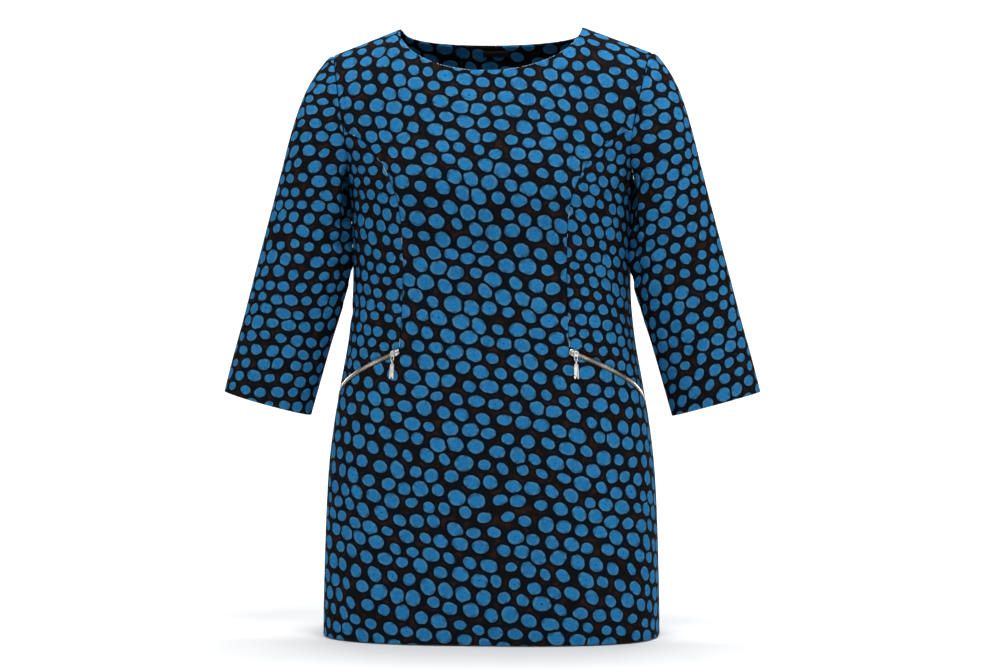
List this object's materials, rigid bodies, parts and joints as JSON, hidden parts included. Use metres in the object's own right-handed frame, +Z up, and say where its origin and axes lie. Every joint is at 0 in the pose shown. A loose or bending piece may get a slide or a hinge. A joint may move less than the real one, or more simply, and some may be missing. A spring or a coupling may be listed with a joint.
{
  "type": "shift dress",
  "caption": "Knitted shift dress with three-quarter sleeves, a wide round neck and a slanted zip with a hanging pull on each hip, in its worn hollow form.",
  "frame": {"origin": "midway between the two points where the shoulder seams meet the neckline", "axes": "+Z up the dress, -Y towards the front, +X towards the wearer's left"},
  "size_m": [0.747, 0.2991, 0.845],
  "materials": {
    "printed_knit": "matt double knit with a printed dot",
    "knit_facing": "matt double knit, same print",
    "woven_label": "satin woven, bare",
    "zip_tape": "woven tape",
    "zip_teeth": "antique plated",
    "slider_metal": "polished and plated"
  },
  "bodies": {
    "dress": {"back_left": "printed_knit", "back_neck_facing": "knit_facing", "back_right": "printed_knit", "front_panel": "printed_knit", "neck_label": "woven_label", "side_front_left": "printed_knit", "side_front_right": "printed_knit", "sleeve_left": "printed_knit", "sleeve_right": "printed_knit", "slider_left": "slider_metal", "slider_right": "slider_metal", "zip_chain_left": "zip_teeth", "zip_chain_right": "zip_teeth", "zip_tape_left": "zip_tape", "zip_tape_right": "zip_tape"},
    "pull_link_left": {"pull_link_left": "slider_metal"},
    "pull_link_right": {"pull_link_right": "slider_metal"},
    "pull_bar_left": {"pull_bar_left": "slider_metal"},
    "pull_bar_right": {"pull_bar_right": "slider_metal"}
  },
  "joints": [
    {"name": "pull_swing_left", "type": "hinge", "parent": "dress", "child": "pull_link_left", "pos_m": [0.12245, -0.12381, -0.45476], "axis": [0.366, -0.9221, 0.1257], "range_deg": [-35, 50]},
    {"name": "pull_lift_left", "type": "hinge", "parent": "pull_link_left", "child": "pull_bar_left", "pos_m": [0.12434, -0.12855, -0.46399], "axis": [-0.9295, -0.3689, 0], "range_deg": [0, 150]},
    {"name": "pull_swing_right", "type": "hinge", "parent": "dress", "child": "pull_link_right", "pos_m": [-0.12245, -0.12381, -0.45476], "axis": [-0.366, -0.9221, 0.1257], "range_deg": [-50, 35]},
    {"name": "pull_lift_right", "type": "hinge", "parent": "pull_link_right", "child": "pull_bar_right", "pos_m": [-0.12434, -0.12855, -0.46399], "axis": [-0.9295, 0.3689, 0], "range_deg": [0, 150]}
  ]
}
